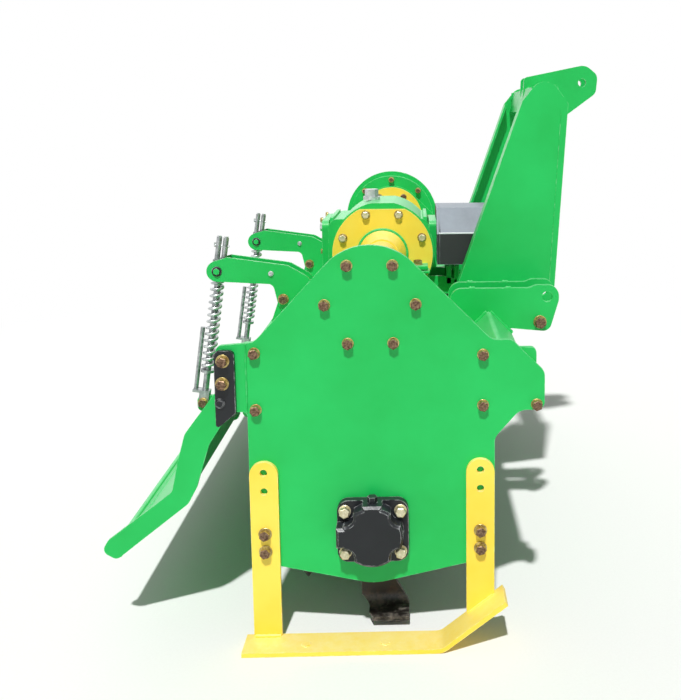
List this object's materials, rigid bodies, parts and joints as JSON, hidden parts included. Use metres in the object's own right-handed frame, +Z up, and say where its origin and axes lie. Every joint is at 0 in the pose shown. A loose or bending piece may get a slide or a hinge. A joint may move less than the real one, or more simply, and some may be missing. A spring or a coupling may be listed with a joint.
{
  "type": "rotary tiller",
  "caption": "Rotary tiller for a three-point hitch, with a gear-driven tined rotor under a hood, skids, a mast and a sprung rear board.",
  "frame": {"origin": "on the ground, under the middle of the machine", "axes": "+X is the direction of travel, towards the tractor; +Y is the machine's left; +Z is up"},
  "size_m": [1.0138, 1.516, 1.0588],
  "materials": {
    "green_enamel": "gloss",
    "yellow_enamel": "gloss",
    "black_enamel": "satin",
    "guard_plastic": "matte",
    "tine_steel": "satin",
    "zinc_steel": "zinc plated",
    "bright_steel": "machined"
  },
  "bodies": {
    "frame": {"bearing_cap": "black_enamel", "cross_tube_left": "yellow_enamel", "cross_tube_right": "yellow_enamel", "filler_cap": "zinc_steel", "front_beam": "green_enamel", "gear_case": "green_enamel", "gear_case_cover": "green_enamel", "gearbox": "green_enamel", "gearbox_cover_left": "yellow_enamel", "gearbox_cover_right": "yellow_enamel", "hinge_bracket_left": "black_enamel", "hinge_bracket_right": "black_enamel", "hitch_fork_left": "green_enamel", "hitch_fork_right": "green_enamel", "hood": "green_enamel", "mast_head": "green_enamel", "mast_leg_left": "green_enamel", "mast_leg_right": "green_enamel", "pto_guard": "guard_plastic", "side_plate_left": "green_enamel", "side_plate_right": "green_enamel", "skid_left": "yellow_enamel", "skid_right": "yellow_enamel", "spring_arm_left": "green_enamel", "spring_arm_right": "green_enamel"},
    "rotor": {"rotor_tube": "tine_steel", "tines_left_hand": "tine_steel", "tines_right_hand": "tine_steel"},
    "input_shaft": {"pto_shaft": "bright_steel"},
    "tailboard": {"tailboard": "green_enamel"},
    "swivel_right": {"swivel_right": "zinc_steel", "spring_right": "zinc_steel"},
    "rod_right": {"spring_rod_right": "zinc_steel"},
    "swivel_left": {"swivel_left": "zinc_steel", "spring_left": "zinc_steel"},
    "rod_left": {"spring_rod_left": "zinc_steel"}
  },
  "joints": [
    {"name": "rotor_spin", "type": "hinge", "parent": "frame", "child": "rotor", "pos_m": [-0.0191, 0, 0.207], "axis": [0, 1, 0], "continuous": true},
    {"name": "input_spin", "type": "hinge", "parent": "frame", "child": "input_shaft", "pos_m": [0.0929, 0, 0.612], "axis": [1, 0, 0], "continuous": true},
    {"name": "tailboard_hinge", "type": "hinge", "parent": "frame", "child": "tailboard", "pos_m": [-0.2811, 0, 0.442], "axis": [0, 1, 0], "range_deg": [0, 20]},
    {"name": "swivel_right_turn", "type": "hinge", "parent": "frame", "child": "swivel_right", "pos_m": [-0.3801, -0.242, 0.599], "axis": [0, 1, 0], "range_deg": [0, 11.01]},
    {"name": "rod_right_slide", "type": "slide", "parent": "swivel_right", "child": "rod_right", "axis": [0.1464, 0, 0.9892], "range_m": [0, 0.0454], "deforming": ["spring_right"]},
    {"name": "swivel_left_turn", "type": "hinge", "parent": "frame", "child": "swivel_left", "pos_m": [-0.3801, 0.242, 0.599], "axis": [0, 1, 0], "range_deg": [0, 11.01]},
    {"name": "rod_left_slide", "type": "slide", "parent": "swivel_left", "child": "rod_left", "axis": [0.1464, 0, 0.9892], "range_m": [0, 0.0454], "deforming": ["spring_left"]}
  ],
  "couplings": [
    {"joint": "input_spin", "follows": "rotor_spin", "ratio": 2.45},
    {"joint": "swivel_right_turn", "follows": "tailboard_hinge", "ratio": 0.548},
    {"joint": "rod_right_slide", "follows": "tailboard_hinge", "m_per_rad": 0.1296},
    {"joint": "swivel_left_turn", "follows": "tailboard_hinge", "ratio": 0.548},
    {"joint": "rod_left_slide", "follows": "tailboard_hinge", "m_per_rad": 0.1296}
  ]
}
